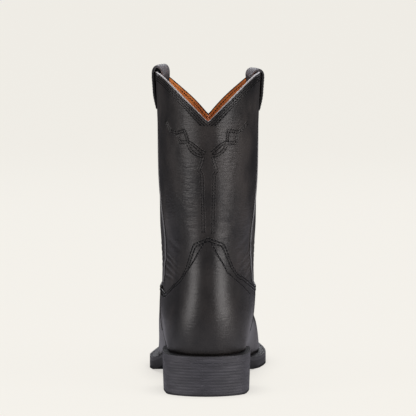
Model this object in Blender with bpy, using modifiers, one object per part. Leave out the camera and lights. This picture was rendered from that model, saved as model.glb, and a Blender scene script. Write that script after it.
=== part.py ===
"""Roper boot for the left foot, standing empty on its sole and heel.

Toe towards +Y, medial side towards +X, floor at Z = 0, metres.
"""
import math

import bmesh
import bpy
import numpy as np

# Main sizes
SOLE_LENGTH = 0.300
BALL_WIDTH = 0.1076
HEEL_HEIGHT = 0.029
HEEL_LENGTH = 0.072
BACK_HEIGHT = 0.237
COLLAR_RISE = 0.0408
TOE_SPRING = 0.012

# Thicknesses
WALL = 0.0022
OVERLAY = 0.0012
OUTSOLE_FRONT = 0.0075
OUTSOLE_SEAT = 0.0033
WELT_FRONT = 0.0032
WELT_SEAT = 0.0027
INSOLE_ABOVE_WELT = 0.0018
STRAP = 0.0024

# Small trim
JOINT = 0.0003
SOLE_JOINT = 0.00045
OVERLAY_JOINT = 0.0004
HEEL_RADIUS = 0.045
TOE_RADIUS = 0.028
SOLE_CHAMFER = 0.0006
WELT_CHAMFER = 0.0006
HEEL_TAPER = 0.0009
HEEL_BREAST_CURVE = 0.003
STACK_LAYERS = 11
STACK_GROOVE_DEPTH = 0.0004
STACK_GROOVE_HEIGHT = 0.0007
BINDING_WIDTH = 0.0026
BINDING_HEIGHT = 0.0012
PIPING_WIDTH = 0.0034
PIPING_HEIGHT = 0.0011
PIPING_TOP = 0.243
PIPING_FOOT_GAP = 0.0012
STRAP_WIDTH = 0.024
STRAP_TURN = 104.0
MEDIAL_STRAP_DROP = 0.0014

OVERLAY_LOWEST_LEVEL = 0.10

# How finely the forms are cut
COLUMNS = 56
COUNTER_COLUMNS = 10
STRAP_COLUMNS = 4

# Sole outline: share of the length, half width and centre as shares of half the ball width
SOLE_PLAN = (
    (0.04, 0.570, -0.030),
    (0.10, 0.692, -0.026),
    (0.17, 0.722, -0.026),
    (0.25, 0.698, -0.030),
    (0.34, 0.640, -0.046),
    (0.44, 0.672, -0.074),
    (0.54, 0.830, -0.088),
    (0.64, 0.964, -0.040),
    (0.72, 0.978, 0.020),
    (0.80, 0.920, 0.052),
    (0.88, 0.765, 0.078),
    (0.95, 0.530, 0.100),
)
HEEL_CENTRE = -0.030
TOE_CENTRE = 0.110

# Underside of the outsole: share of the length, share of the heel height, share of the toe spring
SOLE_RISE = (
    (0.00, 1.00, 0.0),
    (0.24, 1.00, 0.0),
    (0.33, 0.77, 0.0),
    (0.43, 0.40, 0.0),
    (0.53, 0.09, 0.0),
    (0.585, 0.00, 0.0),
    (0.75, 0.00, 0.0),
    (0.84, 0.00, 0.19),
    (0.92, 0.00, 0.53),
    (1.00, 0.00, 1.00),
)

# Sections of the upper from the feather to the collar.
# back and front: ends of the section as shares of the sole length from the middle
# back_up and front_up: their heights over the feather as shares of the back height
# bend: how far the section follows the bend of the sole, rise: share of the collar's rise
# heel to toe: half widths over the sine of the turn, as shares of half the ball width
SECTION_COLUMNS = ("back", "back_up", "front", "front_up", "bend", "rise",
                   "heel", "seat", "waist", "middle", "ball", "box", "toe")
SECTIONS = (
    (-0.475, 0.000, 0.473, 0.000, 1.00, 0.00, 1.23, 0.97, 0.70, 0.665, 0.965, 1.08, 1.10),
    (-0.487, 0.063, 0.480, 0.050, 0.75, 0.00, 1.26, 1.03, 0.78, 0.73, 0.925, 1.04, 1.12),
    (-0.490, 0.130, 0.468, 0.088, 0.50, 0.00, 1.20, 1.01, 0.83, 0.765, 0.86, 0.92, 1.00),
    (-0.485, 0.197, 0.423, 0.130, 0.25, 0.00, 1.06, 0.94, 0.845, 0.755, 0.71, 0.74, 0.80),
    (-0.477, 0.264, 0.343, 0.167, 0.05, 0.00, 0.95, 0.88, 0.84, 0.735, 0.62, 0.63, 0.66),
    (-0.471, 0.326, 0.243, 0.209, 0.00, 0.00, 0.86, 0.82, 0.815, 0.73, 0.56, 0.56, 0.58),
    (-0.467, 0.389, 0.137, 0.264, 0.00, 0.00, 0.80, 0.775, 0.79, 0.745, 0.55, 0.48, 0.47),
    (-0.467, 0.448, 0.040, 0.322, 0.00, 0.00, 0.75, 0.745, 0.77, 0.765, 0.63, 0.54, 0.49),
    (-0.468, 0.502, -0.033, 0.385, 0.00, 0.00, 0.73, 0.73, 0.765, 0.775, 0.72, 0.62, 0.57),
    (-0.470, 0.552, -0.080, 0.452, 0.00, 0.00, 0.72, 0.725, 0.775, 0.79, 0.75, 0.67, 0.63),
    (-0.473, 0.607, -0.097, 0.523, 0.00, 0.08, 0.72, 0.73, 0.78, 0.79, 0.77, 0.71, 0.68),
    (-0.476, 0.669, -0.095, 0.623, 0.00, 0.25, 0.74, 0.75, 0.79, 0.80, 0.78, 0.74, 0.71),
    (-0.479, 0.732, -0.087, 0.732, 0.00, 0.50, 0.76, 0.77, 0.81, 0.82, 0.80, 0.76, 0.74),
    (-0.482, 0.795, -0.077, 0.820, 0.00, 0.78, 0.78, 0.79, 0.825, 0.84, 0.825, 0.78, 0.76),
    (-0.484, 0.8535, -0.067, 0.9085, 0.00, 1.00, 0.79, 0.80, 0.84, 0.86, 0.84, 0.79, 0.77),
)
SECTION_TURNS = (0.0, 36.87, 60.0, 90.0, 120.0, 143.13, 180.0)
RIDGE_OFFSET = 0.10
SECTION_STEPS = (0.0, 0.45, 1.0, 1.5, 2.0, 2.5, 3.1, 3.8, 4.5, 5.2, 5.9, 6.6,
                 7.3, 8.0, 8.8, 9.6, 10.6, 11.8, 13.0, 14.0)

# Top edges of the overlays: turn in degrees from the back, height as share of the back height
COUNTER_EDGE = (
    (0.0, 0.584), (6.4, 0.578), (12.9, 0.571), (19.3, 0.562), (25.7, 0.520),
    (32.1, 0.479), (38.6, 0.450), (45.0, 0.430), (51.4, 0.412), (57.9, 0.393), (64.3, 0.374),
)
VAMP_EDGE = (
    (64.3, 0.374), (77.1, 0.362), (90.0, 0.368), (102.9, 0.400), (115.7, 0.445),
    (128.6, 0.495), (141.4, 0.542), (154.3, 0.588), (167.1, 0.640), (180.0, 0.700),
)

# Side seam: height as share of the back height, turn in degrees
SIDE_SEAM = (
    (0.34, 62.0), (0.42, 61.0), (0.50, 62.0), (0.60, 67.0), (0.70, 76.0),
    (0.80, 88.0), (0.92, 97.0), (1.05, 103.0),
)

# Sweep of the collar's edge up to its side peaks: turn in degrees, share of the collar rise
COLLAR_SWEEP = (
    (0.0, 0.0), (20.0, 0.350), (40.0, 0.653), (60.0, 0.905), (75.0, 0.985), (92.0, 1.0),
    (108.0, 0.990), (120.0, 0.921), (140.0, 0.667), (160.0, 0.374), (180.0, 0.0),
)

# Pull strap: distance out from the wall, height above the back of the collar
STRAP_PATH = (
    (0.0016, 0.0090), (0.0018, 0.0210), (0.0021, 0.0310), (0.0023, 0.0380),
    (0.0022, 0.0425), (0.0009, 0.0457), (-0.0019, 0.0469), (-0.0046, 0.0457),
    (-0.0058, 0.0425), (-0.0058, 0.0365), (-0.0050, 0.0295), (-0.0042, 0.0220),
    (-0.0040, 0.0130),
)


def flow(stations, values, at):
    """Smooth curve through the stations that never overshoots them."""
    knots = np.asarray(stations, float)
    at = np.clip(np.asarray(at, float), knots[0], knots[-1])
    levels = np.asarray(values, float)
    if levels.ndim == 1:
        levels = levels.reshape((-1,) + (1,) * at.ndim)
    levels = np.broadcast_to(levels, (len(knots),) + at.shape)
    spans = np.diff(knots).reshape((-1,) + (1,) * at.ndim)
    rises = np.diff(levels, axis=0) / spans
    slopes = np.empty(levels.shape)
    slopes[0] = rises[0]
    slopes[-1] = rises[-1]
    both = rises[:-1] * rises[1:]
    total = np.where(both > 0, rises[:-1] + rises[1:], 1.0)
    slopes[1:-1] = np.where(both > 0, 2 * both / total, 0.0)
    lower = np.clip(np.searchsorted(knots, at, side="right") - 1, 0, len(knots) - 2)
    span = knots[lower + 1] - knots[lower]
    t = (at - knots[lower]) / span

    def pick(table, index):
        return np.take_along_axis(table, index[None], axis=0)[0]

    start, end = pick(levels, lower), pick(levels, lower + 1)
    leave, reach = pick(slopes, lower) * span, pick(slopes, lower + 1) * span
    return (start * (1 + 2 * t) * (1 - t) ** 2 + leave * t * (1 - t) ** 2
            + end * t * t * (3 - 2 * t) + reach * t * t * (t - 1))


def along_sole(y):
    """Share of the sole's length at a place along the boot."""
    return np.clip(np.asarray(y, float) / SOLE_LENGTH + 0.5, 0.0, 1.0)


def underside(y):
    """Height of the outsole's underside, lifted over the heel and at the toe."""
    share = along_sole(y)
    stations = [row[0] for row in SOLE_RISE]
    heel = flow(stations, [row[1] for row in SOLE_RISE], share)
    toe = flow(stations, [row[2] for row in SOLE_RISE], share)
    return heel * HEEL_HEIGHT + toe * TOE_SPRING


def layer(front, seat, y):
    """Thickness of a layer that thins from the ball to the heel seat."""
    return flow((0.0, 0.24, 0.52, 1.0), (seat, seat, front, front), along_sole(y))


def sole_top(y):
    return underside(y) + layer(OUTSOLE_FRONT, OUTSOLE_SEAT, y)


def feather(y):
    """Height of the welt's top, where the upper leaves the sole."""
    return sole_top(y) + layer(WELT_FRONT, WELT_SEAT, y)


def fold_turn(turn):
    """Turn from the back of the heel to the toe, and the side that it is on."""
    wrapped = (np.asarray(turn, float) + math.pi) % (2 * math.pi) - math.pi
    return np.abs(wrapped), np.where(wrapped < 0, -1.0, 1.0)


def sole_edge(turn):
    """Outline of the sole in plan, from the heel round the medial side to the toe."""
    bare, side = fold_turn(turn)
    share = (1 - np.cos(bare)) / 2
    shares = [row[0] for row in SOLE_PLAN]
    turns = [math.acos(1 - 2 * s) for s in shares]
    half = [row[1] * BALL_WIDTH / 2 / math.sin(a) for row, a in zip(SOLE_PLAN, turns)]
    heel_end = math.sqrt(HEEL_RADIUS * SOLE_LENGTH / 2)
    toe_end = math.sqrt(TOE_RADIUS * SOLE_LENGTH / 2)
    width = flow([0.0] + turns + [math.pi], [heel_end] + half + [toe_end], bare)
    return np.stack((plan_centre(share) + side * width * np.sin(bare),
                     (share - 0.5) * SOLE_LENGTH), axis=-1)


def plan_centre(share):
    stations = [0.0] + [row[0] for row in SOLE_PLAN] + [1.0]
    centres = [HEEL_CENTRE] + [row[2] for row in SOLE_PLAN] + [TOE_CENTRE]
    return flow(stations, centres, share) * BALL_WIDTH / 2


def column(name, level):
    index = SECTION_COLUMNS.index(name)
    return flow(range(len(SECTIONS)), [row[index] for row in SECTIONS], level)


def skin(level, turn):
    """Outer face of the upper: level 0 at the feather, last level at the collar."""
    level, turn = np.broadcast_arrays(np.asarray(level, float), np.asarray(turn, float))
    bare, side = fold_turn(turn)
    share = (1 - np.cos(bare)) / 2
    back = column("back", level) * SOLE_LENGTH
    front = column("front", level) * SOLE_LENGTH
    y = back + (front - back) * share
    heel_seat = feather(SECTIONS[0][0] * SOLE_LENGTH)
    toe_seat = feather(SECTIONS[0][2] * SOLE_LENGTH)
    seat = heel_seat + (toe_seat - heel_seat) * share
    back_up = column("back_up", level) * BACK_HEIGHT
    front_up = column("front_up", level) * BACK_HEIGHT
    z = seat + back_up + (front_up - back_up) * share
    z = z + column("bend", level) * (feather(y) - seat)
    sweep = flow(np.radians([row[0] for row in COLLAR_SWEEP]), [row[1] for row in COLLAR_SWEEP], bare)
    z = z + column("rise", level) * COLLAR_RISE * sweep + JOINT
    widths = np.stack([column(name, level) for name in SECTION_COLUMNS[6:]])
    width = flow(np.radians(SECTION_TURNS), widths, bare) * BALL_WIDTH / 2
    plan = plan_centre(along_sole(y))
    ridge = RIDGE_OFFSET * BALL_WIDTH / 2 * flow((-0.1, 0.45), (0.0, 1.0), y / SOLE_LENGTH)
    lift = np.clip(level / 4, 0, 1)
    centre = plan + (ridge - plan) * lift
    return np.stack((centre + side * width * np.sin(bare), y, z), axis=-1)


def outward(level, turn):
    """Unit normal of the upper's outer face."""
    step = 0.01
    top = len(SECTIONS) - 1
    low = np.clip(np.asarray(level, float) - step, 0, top)
    high = np.clip(np.asarray(level, float) + step, 0, top)
    rise = skin(high, turn) - skin(low, turn)
    pace = skin(level, np.asarray(turn) + step) - skin(level, np.asarray(turn) - step)
    face = np.cross(pace, rise)
    return face / np.linalg.norm(face, axis=-1, keepdims=True)


def on_rows(level, turn):
    """Point on the upper's facets, straight between the rows that it is cut into."""
    row = int(np.searchsorted(SECTION_STEPS, level, side="right")) - 1
    row = min(row, len(SECTION_STEPS) - 2)
    low, high = SECTION_STEPS[row], SECTION_STEPS[row + 1]
    share = (level - low) / (high - low)
    return skin(low, turn) * (1 - share) + skin(high, turn) * share


def level_at(turn, height):
    """Level at which the upper reaches a height on one turn."""
    levels = np.linspace(0, len(SECTIONS) - 1, 281)
    heights = skin(levels, np.full(levels.shape, turn))[:, 2]
    return float(np.interp(height, heights, levels))


def inset_loop(points, distance):
    """Closed plan outline moved inwards by a distance."""
    ahead = np.roll(points, -1, axis=0) - np.roll(points, 1, axis=0)
    ahead /= np.linalg.norm(ahead, axis=1, keepdims=True)
    inwards = np.stack((-ahead[:, 1], ahead[:, 0]), axis=1)
    return points + inwards * distance


def turns_round():
    return np.arange(COLUMNS) * 2 * math.pi / COLUMNS


def leather(name, colour, roughness):
    material = bpy.data.materials.new(name)
    material.use_nodes = True
    shader = material.node_tree.nodes["Principled BSDF"]
    shader.inputs["Base Color"].default_value = (*colour, 1.0)
    shader.inputs["Roughness"].default_value = roughness
    shader.inputs["Metallic"].default_value = 0.0
    return material


def add_piece(name, mesh, material):
    piece = bpy.data.objects.new(name, mesh)
    boot.objects.link(piece)
    mesh.materials.append(material)
    return piece


def mesh_from(name, points, faces, closed=True):
    """Mesh with doubled points merged and a closed one's faces turned outwards."""
    mesh = bpy.data.meshes.new(name)
    mesh.from_pydata([tuple(p) for p in points], [], faces)
    work = bmesh.new()
    work.from_mesh(mesh)
    bmesh.ops.remove_doubles(work, verts=work.verts, dist=1e-6)
    bmesh.ops.dissolve_degenerate(work, edges=work.edges, dist=1e-6)
    if closed:
        bmesh.ops.recalc_face_normals(work, faces=work.faces)
    work.to_mesh(mesh)
    work.free()
    mesh.polygons.foreach_set("use_smooth", [True] * len(mesh.polygons))
    return mesh


def grid_faces(rows, columns, closed):
    """Quads of a grid of points, the columns closed into a ring if asked."""
    faces = []
    for row in range(rows - 1):
        for col in range(columns if closed else columns - 1):
            near = (col + 1) % columns
            faces.append((row * columns + col, row * columns + near,
                          (row + 1) * columns + near, (row + 1) * columns + col))
    return faces


def ring_solid(name, rings, material):
    """Solid tube whose section is the closed row of rings given."""
    count = len(rings[0])
    points = np.concatenate(rings)
    faces = grid_faces(len(rings), count, True)
    last = (len(rings) - 1) * count
    for col in range(count):
        near = (col + 1) % count
        faces.append((last + col, last + near, near, col))
    return add_piece(name, mesh_from(name, points, faces), material)


def ladder(first, count, turned):
    """Faces across a closed outline, from side to side."""
    faces = [(first, first + 1, first + count - 1)]
    for k in range(1, count // 2 - 1):
        faces.append((first + k, first + k + 1, first + count - k - 1, first + count - k))
    half = count // 2
    faces.append((first + half - 1, first + half, first + half + 1))
    return [face[::-1] for face in faces] if turned else faces


def slab(name, rings, material):
    """Solid with a stack of outlines for its side and a ladder over each end."""
    count = len(rings[0])
    points = np.concatenate(rings)
    faces = grid_faces(len(rings), count, True)
    faces += ladder(0, count, True)
    faces += ladder((len(rings) - 1) * count, count, False)
    return add_piece(name, mesh_from(name, points, faces), material)


def thicken(piece, thickness, offset):
    shell = piece.modifiers.new("thickness", "SOLIDIFY")
    shell.thickness = thickness
    shell.offset = offset
    shell.use_even_offset = True
    shell.use_quality_normals = True


def lifted(outline, height):
    """Plan outline set at a height that may change along the boot."""
    return np.column_stack((outline, height(outline[:, 1])))


def build_outsole():
    outline = sole_edge(turns_round())
    under = inset_loop(outline, SOLE_CHAMFER)
    top = inset_loop(outline, SOLE_CHAMFER / 2)
    rings = [
        lifted(under, underside),
        lifted(outline, lambda y: underside(y) + SOLE_CHAMFER),
        lifted(outline, lambda y: sole_top(y) - SOLE_JOINT - SOLE_CHAMFER / 2),
        lifted(top, lambda y: sole_top(y) - SOLE_JOINT),
    ]
    return slab("outsole", rings, leather("outsole", (0.02, 0.02, 0.021), 0.55))


def build_welt():
    outline = sole_edge(turns_round())
    foot = skin(0.0, turns_round())[:, :2]
    inner = inset_loop(foot, WALL)
    top = inset_loop(outline, WELT_CHAMFER)
    rings = [
        lifted(inner, sole_top),
        lifted(outline, sole_top),
        lifted(outline, lambda y: feather(y) - WELT_CHAMFER),
        lifted(top, feather),
        lifted(inner, feather),
    ]
    return ring_solid("welt", rings, leather("welt", (0.03, 0.03, 0.032), 0.5))


def build_insole():
    foot = skin(0.0, turns_round())[:, :2]
    edge = inset_loop(foot, WALL + JOINT)
    rings = [
        lifted(edge, sole_top),
        lifted(edge, lambda y: feather(y) + INSOLE_ABOVE_WELT),
    ]
    return slab("insole", rings, leather("insole", (0.35, 0.16, 0.06), 0.7))


def heel_outline(shrink):
    """Outline of the heel block: the sole's edge behind the breast, then the breast."""
    breast = SOLE_LENGTH / 2 - HEEL_LENGTH
    reach = math.acos(2 * breast / SOLE_LENGTH)
    arc = sole_edge(np.linspace(-reach, reach, 27))
    middle = np.array((HEEL_CENTRE * BALL_WIDTH / 2, -SOLE_LENGTH / 2 + HEEL_LENGTH / 2))
    radius = HEEL_LENGTH / 2
    arc = middle + (arc - middle) * (1 - shrink / radius)
    across = np.linspace(0, 1, 7)[1:-1, None]
    front = arc[-1] + (arc[0] - arc[-1]) * across
    front[:, 1] -= HEEL_BREAST_CURVE * np.sin(math.pi * across[:, 0])
    return np.concatenate((arc, front))


def build_heel():
    pitch = (HEEL_HEIGHT - JOINT) / STACK_LAYERS
    rings = []
    for k in range(STACK_LAYERS):
        low = k * pitch
        taper = HEEL_TAPER * (1 - low / HEEL_HEIGHT)
        notch = STACK_GROOVE_DEPTH if k else SOLE_CHAMFER
        for shrink, height in ((notch, 0.0), (0.0, STACK_GROOVE_HEIGHT / 2),
                               (0.0, pitch - STACK_GROOVE_HEIGHT / 2)):
            ring = heel_outline(taper + shrink)
            rings.append(np.column_stack((ring, np.full(len(ring), low + height))))
    ring = heel_outline(STACK_GROOVE_DEPTH)
    rings.append(np.column_stack((ring, np.full(len(ring), HEEL_HEIGHT - JOINT))))
    count = len(ring)
    faces = grid_faces(len(rings), count, True)
    faces.append(tuple(range(count))[::-1])
    faces.append(tuple(range((len(rings) - 1) * count, len(rings) * count)))
    mesh = mesh_from("heel", np.concatenate(rings), faces)
    return add_piece("heel", mesh, leather("heel", (0.045, 0.045, 0.048), 0.5))


def build_upper():
    levels = np.array(SECTION_STEPS)[:, None]
    points = skin(levels, turns_round()[None, :]).reshape(-1, 3)
    faces = grid_faces(len(levels), COLUMNS, True)
    mesh = mesh_from("upper", points, faces, closed=False)
    piece = add_piece("upper", mesh, leather("upper", (0.018, 0.018, 0.02), 0.35))
    thicken(piece, WALL, -1.0)
    return piece


def build_overlay(name, columns, edge, colour):
    """Leather over the upper from the feather to its own top edge."""
    step = 2 * math.pi / COLUMNS
    turns = [col * step for col in columns]
    slack = JOINT / SOLE_LENGTH * 2
    turns[0] += slack
    turns[-1] -= slack
    points = []
    for level in SECTION_STEPS:
        for turn in turns:
            bare = math.degrees(float(fold_turn(turn)[0]))
            height = float(np.interp(bare, [e[0] for e in edge], [e[1] for e in edge]))
            top = level_at(turn, height * BACK_HEIGHT)
            here = min(max(level, OVERLAY_LOWEST_LEVEL), top)
            points.append(on_rows(here, turn) + outward(here, turn) * OVERLAY_JOINT)
    faces = grid_faces(len(SECTION_STEPS), len(turns), False)
    mesh = mesh_from(name, points, faces, closed=False)
    piece = add_piece(name, mesh, leather(name, colour, 0.35))
    thicken(piece, OVERLAY, 1.0)
    return piece


def build_counter():
    columns = range(-COUNTER_COLUMNS, COUNTER_COLUMNS + 1)
    return build_overlay("counter", columns, COUNTER_EDGE, (0.02, 0.02, 0.022))


def build_vamp():
    columns = range(COUNTER_COLUMNS, COLUMNS - COUNTER_COLUMNS + 1)
    return build_overlay("vamp", columns, VAMP_EDGE, (0.02, 0.02, 0.022))


def build_piping(name, side):
    """Half round strip down a side seam, from the pull strap to the counter's edge."""
    heights = [row[0] * BACK_HEIGHT for row in SIDE_SEAM]
    foot_turn = float(flow(heights, [row[1] for row in SIDE_SEAM], heights[1]))
    edge = np.interp(foot_turn, [e[0] for e in COUNTER_EDGE], [e[1] for e in COUNTER_EDGE])
    low = edge * BACK_HEIGHT + PIPING_FOOT_GAP
    section = [(math.cos(a), math.sin(a)) for a in np.linspace(0, math.pi, 5)]
    rings = []
    for height in np.linspace(low, PIPING_TOP, 18):
        turn = side * math.radians(float(flow(heights, [r[1] for r in SIDE_SEAM], height)))
        level = level_at(turn, height)
        here = skin(level, turn)
        out = outward(level, turn)
        across = np.cross(out, (0.0, 0.0, 1.0))
        across /= np.linalg.norm(across)
        rings.append([here + out * (JOINT + v * PIPING_HEIGHT) + across * u * PIPING_WIDTH / 2
                      for u, v in section])
    count = len(section)
    faces = grid_faces(len(rings), count, True)
    faces.append(tuple(range(count)))
    faces.append(tuple(range((len(rings) - 1) * count, len(rings) * count)))
    mesh = mesh_from(name, np.concatenate(rings), faces)
    return add_piece(name, mesh, leather(name, (0.06, 0.06, 0.062), 0.4))


def build_binding():
    """Bead of leather along the top edge of the collar."""
    turns = turns_round()
    top = float(len(SECTIONS) - 1)
    edge = skin(top, turns)
    out = outward(top, turns)
    out[:, 2] = 0.0
    out /= np.linalg.norm(out, axis=1, keepdims=True)
    middle = edge - out * WALL / 2
    half = BINDING_WIDTH / 2
    section = ((-half, 0.0), (half, 0.0), (half, 0.55), (half / 2, 1.0), (-half / 2, 1.0), (-half, 0.55))
    rings = []
    for across, up in section:
        ring = middle + out * across
        ring[:, 2] += 2 * JOINT + up * BINDING_HEIGHT
        rings.append(ring)
    return ring_solid("collar_binding", rings, leather("collar_binding", (0.05, 0.05, 0.052), 0.4))


def build_strap(name, side, drop):
    """Loop of strap leather over the collar's side peak."""
    places = np.linspace(0, len(STRAP_PATH) - 1, 19)
    outs = flow(range(len(STRAP_PATH)), [row[0] for row in STRAP_PATH], places)
    heights = flow(range(len(STRAP_PATH)), [row[1] for row in STRAP_PATH], places)
    heights = heights + BACK_HEIGHT - drop
    middle = side * math.radians(STRAP_TURN)
    reach = STRAP_WIDTH / BALL_WIDTH
    turns = middle + np.linspace(-reach, reach, STRAP_COLUMNS + 1)
    top = float(len(SECTIONS) - 1)
    points = []
    for out, height in zip(outs, heights):
        for turn in turns:
            level = min(level_at(turn, height), top)
            here = skin(level, turn)
            normal = outward(level, turn)
            normal[2] = 0.0
            normal /= np.linalg.norm(normal)
            point = here + normal * out
            point[2] = height
            points.append(point)
    faces = grid_faces(len(places), STRAP_COLUMNS + 1, False)
    mesh = mesh_from(name, points, faces, closed=False)
    piece = add_piece(name, mesh, leather(name, (0.025, 0.025, 0.027), 0.4))
    thicken(piece, STRAP, 0.0)
    return piece


for thing in list(bpy.data.objects):
    bpy.data.objects.remove(thing, do_unlink=True)
boot = bpy.data.collections.new("roper_boot")
bpy.context.scene.collection.children.link(boot)
build_heel()
build_outsole()
build_welt()
build_insole()
build_upper()
build_vamp()
build_counter()
build_piping("piping_medial", 1)
build_piping("piping_lateral", -1)
build_binding()
build_strap("pull_strap_medial", 1, MEDIAL_STRAP_DROP)
build_strap("pull_strap_lateral", -1, 0.0)
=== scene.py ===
import math

import bpy
import numpy as np
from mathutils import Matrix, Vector
from mathutils.bvhtree import BVHTree
from mathutils.kdtree import KDTree


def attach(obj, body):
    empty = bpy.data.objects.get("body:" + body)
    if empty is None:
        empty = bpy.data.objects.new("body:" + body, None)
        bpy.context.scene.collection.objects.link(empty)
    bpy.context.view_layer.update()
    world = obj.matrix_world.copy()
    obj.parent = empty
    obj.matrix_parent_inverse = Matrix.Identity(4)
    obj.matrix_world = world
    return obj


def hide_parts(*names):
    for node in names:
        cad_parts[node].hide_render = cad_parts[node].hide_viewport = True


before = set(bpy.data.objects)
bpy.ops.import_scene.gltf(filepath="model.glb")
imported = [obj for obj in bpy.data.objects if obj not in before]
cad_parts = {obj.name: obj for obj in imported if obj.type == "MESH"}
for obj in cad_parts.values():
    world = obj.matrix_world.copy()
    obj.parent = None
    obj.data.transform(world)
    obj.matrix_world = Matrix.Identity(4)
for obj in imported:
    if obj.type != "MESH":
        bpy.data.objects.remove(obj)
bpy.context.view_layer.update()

scene = bpy.context.scene


# The studio for one black boot that stands empty, seen from straight behind. A pale cream
# floor glows evenly and fills the picture; under the boot its glow carries a painted contact
# shadow from an occlusion mask. Tall soft lights left and right behind the camera make the
# upright streaks on the leather, and low ones light its rims.
CREAM = (0.888, 0.863, 0.807)
CREAM_IN_SHADE = (0.62, 0.60, 0.57)
FLOOR_GLOW = 0.97
CONTACT_SHADE_REACH = 0.035
SKY = (0.85, 0.88, 1.0)
SKY_STRENGTH = 0.055
CAMERA_PLACE = (0.0, -3.15, 0.449)
CAMERA_TILT_DOWN = 5.41
CAMERA_LENS = 301.9
LIGHTS = (  # name, place, what it faces, width and height, power, tint
    ("soft_left", (-2.15, -1.10, 0.85), (0, -0.06, 0.14), (1.3, 2.0), 38.0, (1.0, 0.96, 0.95)),
    ("soft_right", (2.05, -1.30, 0.85), (0, -0.06, 0.14), (1.6, 2.0), 50.0, (1.0, 0.96, 0.95)),
    ("soft_top", (0.0, -0.5, 2.3), (0, -0.06, 0.14), (1.2, 1.0), 24.0, (1.0, 0.98, 1.0)),
    ("soft_behind", (0.0, 1.9, 1.35), (0, -0.06, 0.2), (1.8, 0.8), 15.0, (0.95, 0.95, 1.0)),
    ("bounce_before", (0.0, -0.28, 0.002), (0, -0.279, 1.0), (1.2, 0.5), 0.85, (0.94, 0.92, 1.0)),
    ("bounce_behind", (0.0, 0.20, 0.002), (0, 0.201, 1.0), (1.2, 0.34), 0.6, (0.94, 0.90, 1.0)),
)


class Value:
    """A socket of a finish that can be used in sums."""

    def __init__(self, finish, socket):
        self.finish = finish
        self.socket = socket

    def maths(self, operation, first, second):
        return self.finish.node("ShaderNodeMath", {"operation": operation}, {0: first, 1: second})

    def __add__(self, other):
        return self.maths("ADD", self, other)

    def __radd__(self, other):
        return self.maths("ADD", other, self)

    def __mul__(self, other):
        return self.maths("MULTIPLY", self, other)

    def __rmul__(self, other):
        return self.maths("MULTIPLY", other, self)

    def over(self, low, high):
        """Zero below the low value, one above the high one."""
        return self.finish.node("ShaderNodeMapRange", {"interpolation_type": "SMOOTHSTEP"},
                                {"Value": self, "From Min": low, "From Max": high})


class Finish:
    """A material being built: its shader and the nodes that feed it."""

    def __init__(self, name, colour, roughness):
        self.material = bpy.data.materials.new(name)
        self.material.use_nodes = True
        self.tree = self.material.node_tree
        self.shader = self.tree.nodes["Principled BSDF"]
        self.shader.inputs["Base Color"].default_value = (*colour, 1.0)
        self.shader.inputs["Roughness"].default_value = roughness

    def node(self, kind, settings=None, sockets=None, output=0):
        made = self.tree.nodes.new(kind)
        for key, setting in (settings or {}).items():
            setattr(made, key, setting)
        for key, value in (sockets or {}).items():
            if isinstance(value, Value):
                self.tree.links.new(value.socket, made.inputs[key])
            else:
                made.inputs[key].default_value = value
        return Value(self, made.outputs[output])

    def feed(self, name, value):
        self.tree.links.new(value.socket, self.shader.inputs[name])

    def place(self, stretch):
        where = self.node("ShaderNodeTexCoord", output="Object")
        return self.node("ShaderNodeMapping", sockets={"Vector": where, "Scale": stretch})

    def noise(self, scale, detail=2.0, stretch=(1, 1, 1), rough=0.5):
        return self.node("ShaderNodeTexNoise", sockets={
            "Vector": self.place(stretch), "Scale": scale, "Detail": detail, "Roughness": rough})

    def cells(self, scale):
        return self.node("ShaderNodeTexVoronoi", sockets={
            "Vector": self.place((1, 1, 1)), "Scale": scale})

    def shades(self, value, dark, light):
        # inputs 6 and 7 and output 2 are the colour sockets of the Mix node
        return self.node("ShaderNodeMix", {"data_type": "RGBA"}, {
            0: value, 6: (*dark, 1.0), 7: (*light, 1.0)}, output=2)

    def bump(self, height, distance, strength):
        self.feed("Normal", self.node("ShaderNodeBump", sockets={
            "Strength": strength, "Distance": distance, "Height": height}))


scene.view_settings.view_transform = "Standard"
camera = bpy.data.objects.new("camera", bpy.data.cameras.new("camera"))
scene.collection.objects.link(camera)
camera.location = CAMERA_PLACE
camera.rotation_euler = (math.radians(90 - CAMERA_TILT_DOWN), 0, 0)
camera.data.lens = CAMERA_LENS
camera.data.sensor_width = 36
camera.data.clip_end = 60
scene.camera = camera

bpy.ops.mesh.primitive_plane_add(size=40, location=(0, 0, 0))
floor = bpy.context.object
floor.name = "studio_floor"
paper = Finish("studio_paper", (0.05, 0.05, 0.05), 1.0)
paper.shader.inputs["Specular IOR Level"].default_value = 0.0
paper.shader.inputs["Emission Color"].default_value = (*CREAM, 1.0)
paper.shader.inputs["Emission Strength"].default_value = FLOOR_GLOW
# painted contact shadow: where occlusion finds the boot close by, the floor's glow is mixed toward
# CREAM_IN_SHADE
openness = paper.node("ShaderNodeAmbientOcclusion", {"samples": 8},
                      {"Distance": CONTACT_SHADE_REACH}, output="AO")
paper.feed("Emission Color", paper.shades(openness.over(0.1, 0.95), CREAM_IN_SHADE, CREAM))
floor.data.materials.append(paper.material)
floor.visible_diffuse = False
floor.visible_glossy = False

studio = bpy.data.worlds.new("studio")
scene.world = studio
studio.use_nodes = True
studio.node_tree.nodes["Background"].inputs["Color"].default_value = (*SKY, 1.0)
studio.node_tree.nodes["Background"].inputs["Strength"].default_value = SKY_STRENGTH

for name, place, target, size, power, tint in LIGHTS:
    lamp = bpy.data.lights.new(name, "AREA")
    lamp.shape = "RECTANGLE"
    lamp.size, lamp.size_y = size
    lamp.energy = power
    lamp.color = tint
    holder = bpy.data.objects.new(name, lamp)
    scene.collection.objects.link(holder)
    holder.location = place
    holder.visible_camera = False
    aim = Vector(target) - Vector(place)
    holder.rotation_euler = aim.to_track_quat("-Z", "Y").to_euler()


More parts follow.
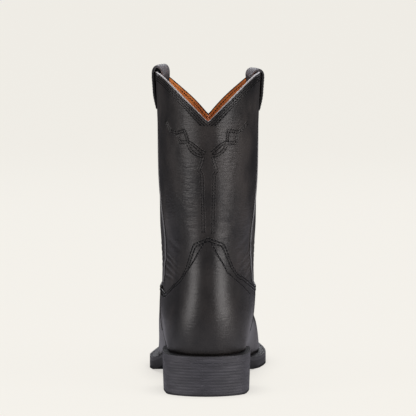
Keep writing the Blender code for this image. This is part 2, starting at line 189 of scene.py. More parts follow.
# The leg and foot of the upper: smooth black cowhide, lasted in one hollow skin. Wear has
# worked soft folds into the ankle, a shallow trough runs down the middle of the back, and
# faint ripples cross the leg above the counter.
AXIS_Y = -0.083
LEG_RADIUS = 0.050
HEEL_BELOW = 0.05
COLLAR_ABOVE = 0.2
HIDE_THICKNESS = 0.0012
ANKLE_FROM, ANKLE_TO = 0.095, 0.142
BLACK = (0.012, 0.0112, 0.0114)
BLACK_LIGHT = (0.046, 0.040, 0.037)
FOLDS = (  # half width mm, depth mm, then degrees round from the back and height mm of its line
    (1.1, 0.46, (-172, 131), (-130, 127), (-90, 122), (-57, 117), (-45, 113), (-31, 109)),
    (1.05, 0.44, (-160, 123), (-120, 119), (-84, 115), (-56, 111.5), (-43, 108.5), (-33, 105)),
    (1.1, 0.44, (-150, 112), (-112, 109), (-80, 108), (-58, 105), (-46, 103), (-38, 101)),
    (1.0, 0.34, (-110, 101), (-82, 100), (-62, 99.5), (-52, 99), (-44, 98)),
    (1.2, 0.30, (172, 133), (130, 128), (92, 122), (62, 117), (46, 113), (33, 109)),
    (1.1, 0.36, (162, 124), (120, 118), (86, 113), (62, 109), (48, 107), (37, 104)),
    (1.1, 0.30, (150, 113), (112, 108), (86, 104), (64, 101), (52, 99)),
    (2.6, 0.18, (-58, 136), (-48, 131), (-38, 127), (-27, 125)),
    (2.4, 0.16, (60, 137), (48, 131), (37, 127), (26, 125)),
    (1.0, 0.34, (96, 132), (72, 128), (60, 121), (50, 114)),
    (0.9, 0.30, (92, 109), (72, 110), (58, 106), (47, 102)),
    (1.6, 0.22, (-52, 213), (-40, 206), (-30, 203), (-20, 202)),
    (1.6, 0.20, (-55, 204), (-42, 198), (-31, 195), (-22, 194)),
    (1.7, 0.18, (-50, 190), (-38, 187), (-27, 186), (-16, 187)),
    (1.5, 0.14, (-44, 168), (-32, 164), (-20, 163), (-10, 165)),
    (1.5, 0.14, (-40, 158), (-28, 154), (-17, 153), (-8, 155)),
    (1.6, 0.22, (14, 207), (22, 203), (31, 195), (40, 184)),
    (1.6, 0.22, (13, 199), (21, 195), (29, 187), (37, 176)),
    (1.5, 0.18, (12, 190), (19, 186), (27, 178), (34, 168)),
    (1.5, 0.14, (9, 163), (20, 160), (31, 161), (42, 165)),
    (1.5, 0.14, (9, 153), (19, 150), (30, 151), (40, 155)),
    (3.2, 0.55, (0, 229), (0.5, 219), (0, 207)),
    (3.4, 0.30, (0, 204), (0.6, 180), (0, 146)),
)


def pick(piece):
    bpy.ops.object.select_all(action="DESELECT")
    piece.hide_set(False)
    piece.select_set(True)
    bpy.context.view_layer.objects.active = piece


def take_copy(node, name):
    """A welded copy of a node, its triangles paired into squares."""
    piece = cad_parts[node].copy()
    piece.data = piece.data.copy()
    piece.name = name
    piece.parent = None
    for key in list(piece.keys()):
        del piece[key]
    scene.collection.objects.link(piece)
    pick(piece)
    bpy.ops.object.mode_set(mode="EDIT")
    bpy.ops.mesh.select_all(action="SELECT")
    bpy.ops.mesh.remove_doubles(threshold=0.000005)
    bpy.ops.mesh.tris_convert_to_quads(face_threshold=math.radians(50),
                                       shape_threshold=math.radians(60))
    bpy.ops.object.mode_set(mode="OBJECT")
    piece.data.materials.clear()
    return piece


def points_of(piece):
    flat = np.empty(len(piece.data.vertices) * 3, np.float32)
    piece.data.vertices.foreach_get("co", flat)
    return flat.reshape(-1, 3).astype(float)


def set_points(piece, points):
    piece.data.vertices.foreach_set("co", points.astype(np.float32).ravel())
    piece.data.update()


def refine(piece, levels, crease, corners=None):
    """Round a piece between its sharp edges; corners are points that stay sharp."""
    pick(piece)
    bpy.ops.object.mode_set(mode="EDIT")
    bpy.ops.mesh.select_mode(type="EDGE")
    bpy.ops.mesh.select_all(action="DESELECT")
    bpy.ops.mesh.edges_select_sharp(sharpness=math.radians(50))
    bpy.ops.transform.edge_crease(value=crease)
    bpy.ops.object.mode_set(mode="OBJECT")
    if corners is not None:
        held = piece.data.attributes.new("crease_vert", "FLOAT", "POINT")
        held.data.foreach_set("value", corners(points_of(piece)).astype(float))
    smooth = piece.modifiers.new("smooth", "SUBSURF")
    smooth.levels = levels
    smooth.render_levels = levels
    bpy.ops.object.modifier_apply(modifier=smooth.name)
    bpy.ops.object.shade_smooth()


def flat_patch(piece, wanted, sharpness):
    """Keep only the smooth patch of faces round the face that scores highest.

    With no sharpness, keep the faces that score above zero.
    """
    pick(piece)
    centres = np.array([face.center[:] for face in piece.data.polygons])
    normals = np.array([face.normal[:] for face in piece.data.polygons])
    scores = wanted(centres, normals)
    if sharpness is None:
        chosen = scores > 0
    else:
        chosen = np.arange(len(scores)) == int(np.argmax(scores))
    bpy.ops.object.mode_set(mode="EDIT")
    bpy.ops.mesh.select_mode(type="FACE")
    bpy.ops.mesh.select_all(action="DESELECT")
    bpy.ops.object.mode_set(mode="OBJECT")
    piece.data.polygons.foreach_set("select", chosen)
    bpy.ops.object.mode_set(mode="EDIT")
    if sharpness is not None:
        bpy.ops.mesh.faces_select_linked_flat(sharpness=math.radians(sharpness))
    bpy.ops.mesh.select_all(action="INVERT")
    bpy.ops.mesh.delete(type="FACE")
    bpy.ops.object.mode_set(mode="OBJECT")


def back_of_leg(centres, normals):
    """Highest at the very back, above the heel."""
    return -centres[:, 1] - 10 * (centres[:, 2] < HEEL_BELOW)


def at_the_v(points):
    """The lowest points of the collar, where its two sides meet in a corner."""
    return (np.abs(points[:, 0]) < 0.002) & (points[:, 2] > COLLAR_ABOVE)


def folds(points):
    """How far the folds lift or sink each point along the way out from the leg's axis."""
    turns = np.degrees(np.arctan2(points[:, 0], AXIS_Y - points[:, 1]))
    across = np.radians(turns) * LEG_RADIUS * 1000
    height = points[:, 2] * 1000
    lift = np.zeros(len(points))
    for row in FOLDS:
        width, depth, line = row[0], row[1], row[2:]
        path = np.array([(math.radians(t) * LEG_RADIUS * 1000, z) for t, z in line])
        lengths = np.linalg.norm(np.diff(path, axis=0), axis=1)
        nearest = np.full(len(points), 1e9)
        place = np.zeros(len(points))
        begun = 0.0
        for start, end, length in zip(path[:-1], path[1:], lengths):
            run = (end - start) / length
            along = (across - start[0]) * run[0] + (height - start[1]) * run[1]
            along = np.clip(along, 0, length)
            away = np.hypot(across - start[0] - along * run[0], height - start[1] - along * run[1])
            closer = away < nearest
            nearest = np.where(closer, away, nearest)
            place = np.where(closer, begun + along, place)
            begun += length
        fade = np.sin(np.pi * np.clip(place / lengths.sum(), 0.02, 0.98)) ** 0.6
        trough = np.exp(-(nearest / width) ** 2)
        ridge = np.exp(-((nearest - 2.0 * width) / (0.9 * width)) ** 2)
        lift += fade * depth / 1000 * (0.5 * ridge - trough)
    return lift


def crease(piece):
    """Work the folds into a piece."""
    points = points_of(piece)
    way = points - (0.0, AXIS_Y, 0.0)
    way[:, 2] = 0.0
    way /= np.maximum(np.linalg.norm(way, axis=1, keepdims=True), 1e-6)
    set_points(piece, points + way * folds(points)[:, None])


def finish_piece(piece, finish, slot, *nodes):
    """Dress a piece, let it ride the boot, and let it stand for its nodes."""
    piece.data.materials.clear()
    piece.data.materials.append(finish.material)
    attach(piece, "root")
    if nodes:
        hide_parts(*nodes)


def black_leather(name, ripple, mottle):
    """Polished black cowhide: pores, sideways ripples in patches, warmer in patches of wear."""
    roughness, grain = 0.36, 0.6
    leather = Finish(name, BLACK, roughness)
    cloud = leather.noise(26, 4, (1.0, 1.0, 0.6), 0.6)
    wear = leather.noise(75, 3, (1.0, 1.0, 0.8))
    pores = leather.cells(1150)
    fine = leather.noise(3200, 2)
    lines = leather.noise(115, 4, (1.0, 1.0, 4.5), 0.6)
    rippled = 0.35 + leather.noise(24, 2).over(0.42, 0.62)
    leather.feed("Base Color",
                 leather.shades(cloud.over(0.35, 0.72) * mottle, BLACK, BLACK_LIGHT))
    leather.feed("Roughness", roughness - 0.07 + 0.11 * cloud + 0.07 * wear)
    grained = pores * 0.35 * grain + fine * 0.25 * grain
    leather.bump(grained + lines * rippled * ripple + wear * 1.7, 0.0003, 0.5)
    return leather


leg_leather = black_leather("black_leather", 2.3, 1.0)
upper = take_copy("upper", "upper_leather")
lining = upper.copy()
lining.data = upper.data.copy()
scene.collection.objects.link(lining)
flat_patch(upper, back_of_leg, 50.0)
refine(upper, 2, 0.9, at_the_v)
pick(upper)
wall = upper.modifiers.new("wall", "SOLIDIFY")
wall.thickness = HIDE_THICKNESS
wall.offset = -1.0
bpy.ops.object.modifier_apply(modifier=wall.name)
bpy.ops.object.mode_set(mode="EDIT")
bpy.ops.mesh.select_all(action="DESELECT")
bpy.ops.object.mode_set(mode="OBJECT")
for face in upper.data.polygons:
    outward = face.normal.dot(Vector((face.center.x, face.center.y - AXIS_Y, 0))) > 0
    face.select = ANKLE_FROM < face.center.z < ANKLE_TO and outward
bpy.ops.object.mode_set(mode="EDIT")
bpy.ops.mesh.subdivide(number_cuts=1)
bpy.ops.object.mode_set(mode="OBJECT")
crease(upper)
finish_piece(upper, leg_leather, "upper_leather", "upper")


# The lining: tan pigskin, cemented to the inside of the leather and sewn to it below the
# collar. It is one soft sheet, darker in patches where it has been rubbed.
TAN = (0.72, 0.24, 0.055)
TAN_DEEP = (0.42, 0.115, 0.025)
LINING_THICKNESS = 0.0009


def inside_of_leg(centres, normals):
    """Highest on the inner face of the leg, near the collar."""
    outward = np.einsum("ij,ij->i", normals[:, :2], centres[:, :2] - (0, AXIS_Y))
    return -np.abs(centres[:, 2] - COLLAR_ABOVE) - outward * 5


flat_patch(lining, inside_of_leg, 50.0)
lining.name = "tan_lining"
refine(lining, 1, 0.9, at_the_v)
pick(lining)
backing = lining.modifiers.new("backing", "SOLIDIFY")
backing.thickness = LINING_THICKNESS
backing.offset = -1.0
bpy.ops.object.modifier_apply(modifier=backing.name)
pigskin = Finish("tan_pigskin", TAN, 0.55)
patch = pigskin.noise(40, 3)
pigskin.feed("Base Color", pigskin.shades(patch.over(0.3, 0.7), TAN_DEEP, TAN))
pigskin.bump(pigskin.cells(900) * 0.6 + pigskin.noise(1800) * 0.4, 0.0003, 0.5)
finish_piece(lining, pigskin, "upper_leather")


# The vamp over the forefoot and the counter over the heel: black cowhide overlays, skived at
# the edge and stitched down on the upper. The counter's top edge is cut to a peak at the back.
COUNTER_LINE = (  # degrees round from the back, height mm of its top edge
    (-106, 87), (-90, 85.5), (-72, 84.5), (-60, 87), (-46.8, 91.6), (-34.1, 98.9), (-28.3, 103.2),
    (-21.7, 112.5), (-18.3, 122.1), (-15.4, 129.5), (-13.3, 133.6), (-8, 136.2), (0, 138.9),
    (7.5, 136.8), (14.4, 134), (17.0, 130.8), (20.5, 123), (25.9, 113.5), (32, 106.5), (38, 103.4),
    (50, 99), (65, 94.7), (84, 91), (106, 87),
)
COUNTER_FIXED_BELOW = 0.050
COUNTER_STEP = 2.5


def leg_reach(turn, height, tree):
    """How far the leg's outside stands from its axis at a turn and a height."""
    out = Vector((math.sin(turn), -math.cos(turn), 0))
    place = tree.ray_cast(Vector((0, AXIS_Y, height)) + out * 0.2, -out)[0]
    return (place - Vector((0, AXIS_Y, height))).length


def recut(piece, line, tree):
    """Slide a piece's top edge up or down the leg to a new line."""
    points = points_of(piece)
    turns = np.arctan2(points[:, 0], AXIS_Y - points[:, 1])
    aims = np.interp(np.degrees(turns), [t for t, _ in line], [z for _, z in line]) / 1000
    tops = np.empty(len(points))
    for k, turn in enumerate(turns):
        near = np.abs(turns - turn) < math.radians(COUNTER_STEP)
        tops[k] = points[near, 2].max()
    for k, (turn, aim, top) in enumerate(zip(turns, aims, tops)):
        height = points[k, 2]
        share = np.clip((height - COUNTER_FIXED_BELOW) / (top - COUNTER_FIXED_BELOW), 0, 1)
        if share <= 0:
            continue
        raised = height + (aim - top) * share
        reach = math.hypot(points[k, 0], points[k, 1] - AXIS_Y) - leg_reach(turn, height, tree)
        reach += leg_reach(turn, raised, tree)
        points[k] = (reach * math.sin(turn), AXIS_Y - reach * math.cos(turn), raised)
    set_points(piece, points)


overlay_leather = black_leather("overlay_black_leather", 1.4, 0.6)
skin_tree = BVHTree.FromObject(upper, bpy.context.evaluated_depsgraph_get())
overlays = {}
for node in ("vamp", "counter"):
    piece = take_copy(node, node + "_leather")
    refine(piece, 2, 0.75)
    if node == "counter":
        recut(piece, COUNTER_LINE, skin_tree)
    crease(piece)
    finish_piece(piece, overlay_leather, "overlay_leather", node)
    overlays[node] = piece


# The side pipings and the collar binding: narrow strips of black leather. The pipings are
# pressed on to the side seams and coloured a lighter grey, a painted highlight; the binding is
# folded over the collar, and its upward lip carries a painted highlight.
PIPING_SEAT = 0.0004
BINDING_SEAT = 0.0004
LIP_PAINTED_HIGHLIGHT = (0.30, 0.29, 0.29)


def painted_highlight_leather(name, dark, light, roughness):
    """Black leather with a painted highlight: lighter in patches where the piece's own mark says
    it faces the light.
    """
    finish = Finish(name, dark, roughness)
    mark = finish.node("ShaderNodeAttribute", {"attribute_name": "painted_highlight"}, output="Fac")
    # painted highlight: the mark, broken into patches by noise, mixes the dark leather toward the
    # light colour
    painted_highlight_patches = mark * (0.7 + 0.6 * finish.noise(160, 3))
    finish.feed("Base Color", finish.shades(painted_highlight_patches, dark, light))
    finish.bump(finish.noise(900, 3), 0.0003, 0.4)
    return finish


def mark_painted_highlight(piece, shares):
    mark = piece.data.attributes.new("painted_highlight", "FLOAT", "POINT")
    mark.data.foreach_set("value", np.clip(shares, 0, 1).astype(np.float32))


def normals_of(piece):
    return np.array([point.vector[:] for point in piece.data.vertex_normals])


# painted highlight: the black leather pipings are coloured a lighter grey to show the light line
# along them
piping_painted_light_grey = Finish("piping_painted_light_grey", (0.15, 0.147, 0.15), 0.33)
piping_painted_light_grey.bump(piping_painted_light_grey.noise(900, 3), 0.0003, 0.4)
edge_leather = painted_highlight_leather("collar_edge_leather", (0.014, 0.0135, 0.014), LIP_PAINTED_HIGHLIGHT, 0.45)
pipings = []
for node in ("piping_medial", "piping_lateral"):
    piece = take_copy(node, node + "_strip")
    refine(piece, 1, 0.3)
    crease(piece)
    points = points_of(piece)
    for k, point in enumerate(points):
        _, normal, _, _ = skin_tree.find_nearest(Vector(point))
        points[k] = point - np.array(normal) * PIPING_SEAT
    set_points(piece, points)
    finish_piece(piece, piping_painted_light_grey, "piping_leather", node)
    pipings.append(piece)
binding = take_copy("collar_binding", "collar_binding_strip")
refine(binding, 1, 0.5, at_the_v)
set_points(binding, points_of(binding) - (0, 0, BINDING_SEAT))
# painted highlight on the binding's lip: faces that point up toward the lights get the pale colour
mark_painted_highlight(binding, (normals_of(binding)[:, 2] - 0.52) / 0.2)
finish_piece(binding, edge_leather, "piping_leather", "collar_binding")


# The pull straps: loops of black leather over the two peaks of the collar, sewn down inside
# and outside. Pulling has rounded each loop, and a painted highlight greys its crown and inner
# leg.
STRAP_ROUND = {  # mm that the inner shoulder, outer shoulder and crown sink, and the loop swells
    "pull_strap_medial": (6.0, 4.2, 2.0, 2.4), "pull_strap_lateral": (5.4, 3.2, 0.2, 0.6)}
STRAP_BEND = 0.009
STRAP_FOOT = 0.014
STRAP_SWELL_FROM, STRAP_SWELL_OVER = 0.018, 0.010
STRAP_LIT_FROM, STRAP_LIT_OVER = 0.016, 0.010
STRAP_LIT = (0.135, 0.130, 0.140)

strap_leather = painted_highlight_leather("strap_black", (0.012, 0.0118, 0.0125), STRAP_LIT, 0.5)
straps = {}
for node, (inner, outer, down, swell) in STRAP_ROUND.items():
    piece = take_copy(node, node + "_leather")
    refine(piece, 2, 0.6)
    points = points_of(piece)
    crown = points[:, 2].max()
    head = points[:, 2] > crown - STRAP_BEND
    reach = np.hypot(points[:, 0], points[:, 1] - AXIS_Y)
    middle = (reach[head].min() + reach[head].max()) / 2
    half = (reach[head].max() - reach[head].min()) / 2
    along = np.clip((reach - middle) / half, -1, 1)
    bent = np.clip((points[:, 2] - crown + STRAP_BEND) / STRAP_BEND, 0, 1) ** 0.8
    fall = np.where(along < 0, inner, outer) * np.abs(along) ** 2.2 + down
    # painted highlight: a mask near the crown and on the inner leg, which sets how far the strap
    # turns STRAP_LIT grey
    painted_lit = np.clip((points[:, 2] - crown + STRAP_LIT_FROM) / STRAP_LIT_OVER, 0, 1)
    painted_lit *= np.clip((0.35 - along) * 1.4, 0, 1)
    loose = np.clip((points[:, 2] - crown + STRAP_SWELL_FROM) / STRAP_SWELL_OVER, 0, 1)
    closer = 1 - loose * np.clip(-along, 0, 1) * swell / 1000 / reach
    points[:, 0] *= closer
    points[:, 1] = AXIS_Y + (points[:, 1] - AXIS_Y) * closer
    points[:, 2] -= bent * fall / 1000
    foot = points[:, 2].min()
    for k, point in enumerate(points):
        place, normal, _, _ = skin_tree.find_nearest(Vector(point))
        thin = 1 - 0.75 * np.clip(1 - (point[2] - foot) / STRAP_FOOT, 0, 1) ** 1.5
        if (Vector(point) - place).dot(normal) > 0:
            points[k] = np.array(place) + (point - np.array(place)) * thin
    set_points(piece, points)
    mark_painted_highlight(piece, painted_lit)
    finish_piece(piece, strap_leather, "strap_leather", node)
    straps[node] = piece


# The bottom: a black welt sewn round the forefoot, a thin black rubber outsole and a heel of
# eleven layers, trimmed flush, inked and waxed together at the back. Inside lies a tan insole.
HEEL_BREAST = -0.058
JOINT_CLOSED = 0.00045
GROOVE_REACH = 0.0013
INK_DARK = (0.036, 0.035, 0.041)
INK_LIGHT = (0.062, 0.060, 0.069)


def fill_grooves(piece, share):
    """Bring the points that are set back from the side of the sole out by a share."""
    points = points_of(piece)
    tree = KDTree(len(points))
    for k, point in enumerate(points):
        tree.insert(point, k)
    tree.balance()
    moved = points.copy()
    for k, (point, normal) in enumerate(zip(points, normals_of(piece))):
        way = normal[:2]
        size = np.linalg.norm(way)
        if size < 0.15:
            continue
        way = way / size
        near = tree.find_range(point, GROOVE_REACH)
        moved[k, :2] += way * share * max((points[j, :2] - point[:2]) @ way for _, j, _ in near)
    set_points(piece, moved)


heel_finish = Finish("heel_stack_ink", INK_LIGHT, 0.60)
sheen = heel_finish.noise(60, 3, (1, 1, 6))
heel_finish.feed("Base Color", heel_finish.shades(sheen.over(0.3, 0.75), INK_DARK, INK_LIGHT))
heel_finish.bump(heel_finish.noise(420, 3, (0.4, 0.4, 6)), 0.0003, 0.5)
sole_finish = Finish("outsole_rubber", (0.011, 0.011, 0.0125), 0.65)
sole_finish.bump(sole_finish.noise(500, 3), 0.0004, 0.4)
welt_finish = Finish("welt_leather", (0.010, 0.010, 0.011), 0.5)
welt_finish.bump(welt_finish.noise(500, 3), 0.0004, 0.4)
for node, finish, slot, share in (("heel", heel_finish, "heel_stack", 0.65),
                                  ("outsole", sole_finish, "outsole", 0.95),
                                  ("welt", welt_finish, "welt", 0.95)):
    piece = take_copy(node, node + "_trimmed")
    fill_grooves(piece, share)
    if node != "welt":
        points = points_of(piece)
        points[:, 2] += JOINT_CLOSED * (normals_of(piece)[:, 2] > 0.4)
        set_points(piece, points)
    pick(piece)
    bpy.ops.object.shade_smooth_by_angle(angle=math.radians(35))
    finish_piece(piece, finish, slot, node)
    if node != "heel":
        piece.data.materials.append(heel_finish.material)
        for face in piece.data.polygons:
            inked = abs(face.normal.z) < 0.5 and face.center.y < HEEL_BREAST
            face.material_index = 1 if inked else 0
    if node == "welt":
        welt = piece
insole_finish = Finish("insole_leather", TAN_DEEP, 0.6)
insole_finish.bump(insole_finish.noise(600, 3), 0.0004, 0.5)
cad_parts["insole"].data.materials.clear()
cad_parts["insole"].data.materials.append(insole_finish.material)


# The collar's seam: three rows of waxed black thread below the edge, which draw the leather
# up between them. Each stitch is one short round-ended bar, copied along its row and laid on
# the leather that carries it.
THREAD_BLACK = (0.0035, 0.0035, 0.004)
PUCKER = (  # across as share of the half width, height as share of the full height
    (-1.0, -0.5), (-0.85, 0.25), (-0.6, 1.0), (-0.3, 0.45), (0.0, -0.15), (0.3, 0.45), (0.6, 1.0),
    (0.85, 0.25), (1.0, -0.5), (0.0, -1.2),
)
PUCKER_STEP = 0.0013
OUTLINE_STEP = 0.0012
COLLAR_ROWS = (0.0016, 0.0036, 0.0056)
COLLAR_ROWS_END = (0.0, 0.002, 0.0035)  # how far from the corner of the V each row ends

bpy.ops.mesh.primitive_uv_sphere_add(segments=8, ring_count=5, radius=0.5, location=(0, 0, 0))
template = bpy.context.object
stitch_points = points_of(template)
stitch_faces = sorted(tuple(face.vertices) for face in template.data.polygons)
bpy.data.objects.remove(template)


def spaced(path, pitch):
    """Points at an even pitch along a path, with the way the path runs there."""
    path = np.asarray(path, float)
    lengths = np.linalg.norm(np.diff(path, axis=0), axis=1)
    stations = np.concatenate(([0.0], np.cumsum(lengths)))
    count = max(int(stations[-1] / pitch), 1)
    at = (np.arange(count) + 0.5) * stations[-1] / count

    def places(where):
        return np.stack([np.interp(where, stations, line) for line in path.T], axis=1)

    return places(at), places(at + pitch * 0.3) - places(at - pitch * 0.3)


def tree_of(*pieces):
    corners, faces = [], []
    for piece in pieces:
        start = len(corners)
        corners += [tuple(point) for point in points_of(piece)]
        faces += [tuple(start + k for k in face.vertices) for face in piece.data.polygons]
    return BVHTree.FromPolygons(corners, faces)


def pucker(name, paths, tree, finish, slot, half_width=0.00105, height=0.00032):
    """The leather that swells on both sides of a row of stitches, one joined mesh."""
    points, faces = [], []
    around = len(PUCKER)
    for path in paths:
        centres, ways = spaced(path, PUCKER_STEP)
        if len(centres) < 3:
            continue
        start = len(points)
        for k, (centre, way) in enumerate(zip(centres, ways)):
            place, normal, _, _ = tree.find_nearest(Vector(centre))
            normal = np.array(normal)
            way = way - normal * (way @ normal)
            side = np.cross(normal, way / np.linalg.norm(way))
            highest = 1.0 if 0 < k < len(centres) - 1 else -0.5
            for across, up in PUCKER:
                points.append(np.array(place) + side * across * half_width
                              + normal * height * min(up, highest))
            if k:
                here = start + k * around
                faces += [(here + j, here + (j + 1) % around, here - around + (j + 1) % around,
                           here - around + j) for j in range(around)]
        faces.append(tuple(start + j for j in range(around)))
        faces.append(tuple(len(points) - 1 - j for j in range(around)))
    mesh = bpy.data.meshes.new(name)
    mesh.from_pydata([tuple(point) for point in points], [], faces)
    mesh.shade_smooth()
    piece = bpy.data.objects.new(name, mesh)
    scene.collection.objects.link(piece)
    pick(piece)
    bpy.ops.object.mode_set(mode="EDIT")
    bpy.ops.mesh.select_all(action="SELECT")
    bpy.ops.mesh.normals_make_consistent(inside=False)
    bpy.ops.object.mode_set(mode="OBJECT")
    finish_piece(piece, finish, slot)


def sew(name, paths, tree, finish, slot, pitch=0.0033, length=0.0030, width=0.0010, sink=0.3):
    """One joined mesh of stitches along the paths."""
    points, faces = [], []
    for path in paths:
        for centre, way in zip(*spaced(path, pitch)):
            place, normal, _, _ = tree.find_nearest(Vector(centre))
            normal = np.array(normal)
            way = way - normal * (way @ normal)
            way /= np.linalg.norm(way)
            side = np.cross(normal, way)
            bar = (stitch_points[:, :1] * way * length + stitch_points[:, 1:2] * side * width
                   + stitch_points[:, 2:] * normal * width * 0.7)
            start = len(points) * len(stitch_points)
            points.append(bar + np.array(place) + normal * width * (0.35 - sink))
            faces += [tuple(start + k for k in face) for face in stitch_faces]
    mesh = bpy.data.meshes.new(name)
    mesh.from_pydata(np.concatenate(points).tolist(), [], faces)
    mesh.shade_smooth()
    piece = bpy.data.objects.new(name, mesh)
    scene.collection.objects.link(piece)
    finish_piece(piece, finish, slot)


def outline(piece, wanted, inward, sharpness, highest=False):
    """The border of a piece's smooth patch, moved inwards on the patch by each distance."""
    probe = piece.copy()
    probe.data = piece.data.copy()
    scene.collection.objects.link(probe)
    flat_patch(probe, wanted, sharpness)
    uses = {}
    for face in probe.data.polygons:
        for edge in face.edge_keys:
            uses[edge] = uses.get(edge, 0) + 1
    links = {}
    for a, b in (edge for edge, count in uses.items() if count == 1):
        links.setdefault(a, []).append(b)
        links.setdefault(b, []).append(a)
    points = points_of(probe)
    loops = []
    left = set(links)
    while left:
        here = left.pop()
        loop = [here]
        while True:
            near = [k for k in links[here] if k in left]
            if not near:
                break
            here = near[0]
            left.discard(here)
            loop.append(here)
        loops.append(points[loop])
    if highest:
        loop = max(loops, key=lambda ring: ring[:, 2].mean())
    else:
        loop = max(loops, key=lambda ring: np.linalg.norm(np.diff(ring, axis=0), axis=1).sum())
    loop, _ = spaced(np.vstack((loop, loop[:1])), OUTLINE_STEP)
    tree = tree_of(probe)
    ways = np.roll(loop, -2, axis=0) - np.roll(loop, 2, axis=0)
    sides = []
    for point, way in zip(loop, ways):
        _, normal, _, _ = tree.find_nearest(Vector(point))
        side = np.cross(np.array(normal), way)
        sides.append(side / max(np.linalg.norm(side), 1e-9))
    sides = np.array(sides)
    left_off, right_off = (
        sum(tree.find_nearest(Vector(p))[3] for p in (loop + sides * sign * 0.003)[::9])
        for sign in (1, -1))
    sides *= 1 if left_off < right_off else -1
    rows = [np.array([tree.find_nearest(Vector(p))[0][:] for p in loop + sides * shift])
            for shift in inward]
    bpy.data.objects.remove(probe)
    return rows


def runs(row, keep):
    """The stretches of a closed row where the test holds."""
    held = keep(row)
    if held.all():
        return [np.vstack((row, row[:1]))]
    first = int(np.argmin(held))
    row, held = np.roll(row, -first, axis=0), np.roll(held, -first)
    found, run = [], []
    for point, good in zip(row, held):
        if good:
            run.append(point)
        elif run:
            found.append(np.array(run))
            run = []
    if run:
        found.append(np.array(run))
    return [run for run in found if len(run) > 6]


thread = Finish("black_waxed_thread", THREAD_BLACK, 0.8)
thread.shader.inputs["Specular IOR Level"].default_value = 0.15
thread.bump(thread.noise(2500, 2), 0.0002, 0.4)
leg_tree = tree_of(upper)
collar_rows = outline(upper, back_of_leg, COLLAR_ROWS, 50.0, True)
collar_paths = [run for row, gap in zip(collar_rows, COLLAR_ROWS_END)
                for run in runs(row, lambda p: np.abs(p[:, 0]) >= gap)]
sew("collar_stitches", collar_paths, leg_tree, thread, "upper_leather", 0.0030, 0.0030, 0.0011)
pucker("collar_seam", collar_paths, leg_tree, leg_leather, "upper_leather")


# The seams of the overlays: a double row of black thread along the edges of the counter and
# the vamp, and on the counter one more row that runs down from its peak on both sides.
OVERLAY_ROWS = (0.0008, 0.0034)
COUNTER_SEWN_ABOVE = 0.080
VAMP_SEWN_ABOVE, VAMP_SEWN_BEHIND = 0.046, 0.03
PEAK_LEFT = ((-2, 136), (-8.5, 125), (-13, 117), (-19, 108.5), (-27.5, 101), (-37, 94.5),
             (-50, 87), (-66, 81.5))
PEAK_RIGHT = ((1, 136), (4, 131.5), (9, 122), (14.6, 113), (17.5, 107.5), (26, 101), (37, 95),
              (50, 89), (66, 84))


def beside(path, shift):
    """A flat path moved sideways by a distance, to the left of the way it runs."""
    path = np.asarray(path, float)
    ways = np.gradient(path, axis=0)
    ways /= np.linalg.norm(ways, axis=1, keepdims=True)
    return path + np.stack((-ways[:, 1], ways[:, 0]), axis=1) * shift


def round_leg(tree, line, shift=0.0):
    """A path on the leg from degrees round from the back and heights in millimetres."""
    radius = 60
    flat = [(math.radians(t) * radius, z) for t, z in line]
    fine, _ = spaced(flat, 0.5)
    fine = np.vstack((flat[0], fine, flat[-1]))
    if shift:
        fine = beside(fine, shift)
    path = []
    for across, height in fine:
        turn = across / radius
        out = Vector((math.sin(turn), -math.cos(turn), 0))
        start = Vector((0, AXIS_Y, height / 1000)) + out * 0.2
        path.append(tree.ray_cast(start, -out)[0][:])
    return path


def off_the_leg(centres, normals):
    """Above zero on the outer face of an overlay."""
    scores = []
    for centre, normal in zip(centres, normals):
        _, under, _, away = leg_tree.find_nearest(Vector(centre))
        scores.append(min((away - 0.0010) * 1000, Vector(normal).dot(under) - 0.75))
    return np.array(scores)


counter_rows = outline(overlays["counter"], off_the_leg, OVERLAY_ROWS, None)
counter_paths = [run for row in counter_rows
                 for run in runs(row, lambda p: p[:, 2] > COUNTER_SEWN_ABOVE)]
counter_tree = tree_of(overlays["counter"])
counter_paths += [round_leg(counter_tree, line) for line in (PEAK_LEFT, PEAK_RIGHT)]
sew("counter_stitches", counter_paths, counter_tree, thread, "overlay_leather",
    0.0030, 0.0030, 0.0013)
pucker("counter_seam", counter_paths, counter_tree, overlay_leather, "overlay_leather")
vamp_rows = outline(overlays["vamp"], off_the_leg, OVERLAY_ROWS, None)
vamp_paths = [run for row in vamp_rows for run in runs(
    row, lambda p: (p[:, 2] > VAMP_SEWN_ABOVE) & (p[:, 1] < VAMP_SEWN_BEHIND))]
vamp_tree = tree_of(overlays["vamp"])
sew("vamp_stitches", vamp_paths, vamp_tree, thread, "overlay_leather")
pucker("vamp_seam", vamp_paths, vamp_tree, overlay_leather, "overlay_leather")


# The flourish: the traditional ornament sewn through the leg at the back and the front, in
# double rows of black thread. Its two arms are sewn tight, and the long spindle below them,
# which runs down to the counter, lies flatter in the leather.
FLOURISH = (  # degrees round from the back, height mm
    ((-48, 238.5), (-44, 234), (-38.5, 229.5), (-31, 228.5)),
    ((-29.5, 228.5), (-20.8, 231), (-17.4, 221.5), (-26.6, 220.4), (-29.5, 228.5)),
    ((-17.6, 219.5), (-16.4, 216.6), (-14, 213.4), (-10.6, 210.8), (-7, 209.6), (-3.5, 209.3)),
    ((-17.2, 221.6), (-12.5, 219), (-8.5, 216), (-5.4, 213.4), (-2, 211.6)),
    ((28, 229.5), (31.5, 230.4), (36, 233), (43.5, 237)),
    ((16.4, 220.4), (17.6, 230.9), (27.6, 229.7), (25.8, 219.8), (16.4, 220.4)),
    ((15.8, 218.6), (14.6, 215.6), (12, 212.6), (9, 210.7), (6, 209.7), (3.5, 209.4)),
    ((15.4, 221), (11.6, 219.3), (8, 216.6), (5.2, 214), (2.6, 212)),
)
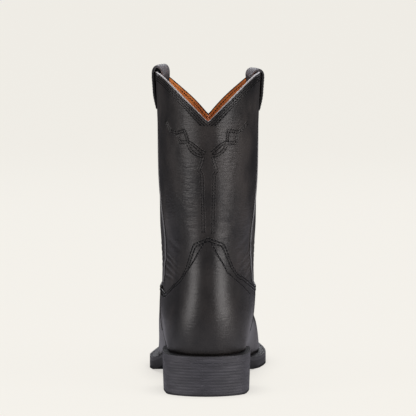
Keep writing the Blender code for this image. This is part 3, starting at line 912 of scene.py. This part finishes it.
SPINDLE = (
    ((-3.6, 209.2), (-5.2, 203), (-7.6, 196.4), (-5.2, 193.2), (-4.8, 176), (-4.4, 158),
     (-4.2, 142)),
    ((3.6, 209.2), (5.2, 203), (7.6, 196.4), (5.2, 193.2), (4.8, 176), (4.4, 158), (4.2, 141)),
)
DOUBLE_ROW = (-1.1, 1.1)
FRONT_RAISED = 3  # mm, as is the height that the front's lines end at
FRONT_ENDS_AT = 160

flourish, spindle = [], []
for lines, paths in ((FLOURISH, flourish), (SPINDLE, spindle)):
    for line in lines:
        front = [(180 - t, z + FRONT_RAISED) for t, z in line if z > FRONT_ENDS_AT]
        for shift in DOUBLE_ROW:
            paths.append(round_leg(leg_tree, line, shift))
            paths.append(round_leg(leg_tree, front, shift))
sew("leg_flourish_stitches", flourish, leg_tree, thread, "upper_leather", 0.0026, 0.0027, 0.0009)
sew("leg_spindle_stitches", spindle, leg_tree, thread, "upper_leather",
    0.0026, 0.0026, 0.0007, 0.45)
pucker("leg_spindle_seam", spindle, leg_tree, leg_leather, "upper_leather", 0.0011, 0.00016)
pucker("leg_flourish_seam", flourish, leg_tree, leg_leather, "upper_leather", 0.0011, 0.00036)


# The side seams: one fine row of black thread on each side of each piping, half buried in
# the leather, which hold the piping down.
SIDE_ROWS = (-3.0, 3.0)
SIDE_POINTS = 60

seam_paths = []
for piece in pipings:
    spine = points_of(piece)
    heights = np.linspace(spine[:, 2].min() + 0.001, spine[:, 2].max() - 0.001, SIDE_POINTS)
    near = np.array([spine[np.abs(spine[:, 2] - z) < 0.004].mean(axis=0) for z in heights])
    turn = np.degrees(np.arctan2(near[:, 0], AXIS_Y - near[:, 1]))
    line = list(zip(turn, near[:, 2] * 1000))
    for shift in SIDE_ROWS:
        seam_paths.append(round_leg(leg_tree, line, shift))
sew("side_seam_stitches", seam_paths, leg_tree, thread, "upper_leather",
    0.0026, 0.0021, 0.0005, 0.5)


# The seams of the pull straps, the lining and the welt: black thread round the outside of
# each strap, brown thread through the lining just below the collar, and a grey row of long
# stitches that holds the welt to the outsole in front of the heel.
STRAP_ROWS = (0.0020,)
STRAP_SEWN_BELOW = 0.276
LINING_ROWS = (0.0024,)
WELT_ROWS = (0.0019,)
WELT_SEWN_BEFORE = -0.075


def side_of_strap(centres, normals):
    """Highest on the strap's outer face."""
    return np.abs(centres[:, 0]) + 0.2 * normals[:, 0] * np.sign(centres[:, 0])


def top_of_welt(centres, normals):
    """Highest on the welt's upper face, at the toe."""
    return centres[:, 1] + 10 * (normals[:, 2] > 0.9) * (centres[:, 2] > 0.01)


strap_paths = []
for piece in straps.values():
    for row in outline(piece, side_of_strap, STRAP_ROWS, 40.0):
        strap_paths += runs(row, lambda p: p[:, 2] < STRAP_SEWN_BELOW)
sew("strap_stitches", strap_paths, tree_of(*straps.values()), thread, "strap_leather",
    0.0026, 0.0021, 0.0007)
tan_thread = Finish("tan_thread", (0.10, 0.03, 0.012), 0.6)
lining_rows = outline(lining, inside_of_leg, LINING_ROWS, 50.0, True)
lining_paths = [run for row in lining_rows for run in runs(row, lambda p: p[:, 2] > COLLAR_ABOVE)]
sew("lining_stitches", lining_paths, tree_of(lining), tan_thread, "upper_leather",
    0.0028, 0.0025, 0.0008)
welt_rows = outline(welt, top_of_welt, WELT_ROWS, 30.0)
welt_paths = [run for row in welt_rows
              for run in runs(row, lambda p: p[:, 1] > WELT_SEWN_BEFORE)]
welt_thread = Finish("welt_thread", (0.05, 0.05, 0.052), 0.6)
sew("welt_stitches", welt_paths, tree_of(welt), welt_thread, "welt", 0.0040, 0.0034, 0.0009)
